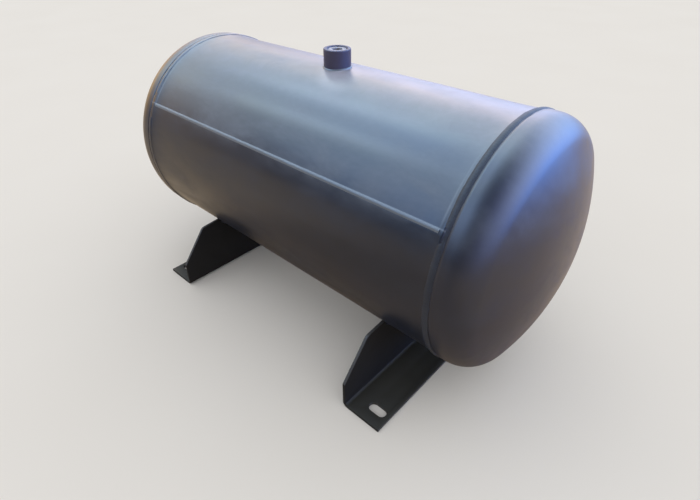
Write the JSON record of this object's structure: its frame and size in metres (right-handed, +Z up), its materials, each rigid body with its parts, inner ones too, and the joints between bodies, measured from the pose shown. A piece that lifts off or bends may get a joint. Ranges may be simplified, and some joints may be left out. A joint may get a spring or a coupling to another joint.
{
  "type": "horizontal compressed-air reservoir",
  "caption": "Welded steel air reservoir: dark painted cylinder on its side with dished ends, a threaded boss on top and slotted bent-plate feet.",
  "frame": {"origin": "on the floor, midway between the two feet and under the tank axis", "axes": "+X along the tank axis towards the right head, +Z up, the seam weld is on the -Y side"},
  "size_m": [0.667, 0.364, 0.3725],
  "materials": {
    "shell_paint": "satin dark blue-black enamel over rolled steel plate, with a soft uneven sheen",
    "head_paint": "satin dark blue-black enamel over pressed steel heads",
    "weld_paint": "the same enamel over rippled weld beads, a little brighter on the crests",
    "boss_paint": "satin dark blue enamel over a turned steel boss",
    "plug_paint": "thin enamel over a steel screwed plug, worn at the socket",
    "foot_paint": "near-black satin enamel over folded steel plate"
  },
  "bodies": {
    "root": {"shell_plate": "shell_paint", "seam_weld": "weld_paint", "right_head": "head_paint", "left_head": "head_paint", "right_girth_weld": "weld_paint", "left_girth_weld": "weld_paint", "top_port_boss": "boss_paint", "top_port_weld": "weld_paint", "top_port_plug": "plug_paint", "drain_boss": "boss_paint", "drain_boss_weld": "weld_paint", "right_foot": "foot_paint", "left_foot": "foot_paint", "right_foot_outer_weld": "weld_paint", "right_foot_inner_weld": "weld_paint", "left_foot_outer_weld": "weld_paint", "left_foot_inner_weld": "weld_paint"}
  },
  "joints": []
}
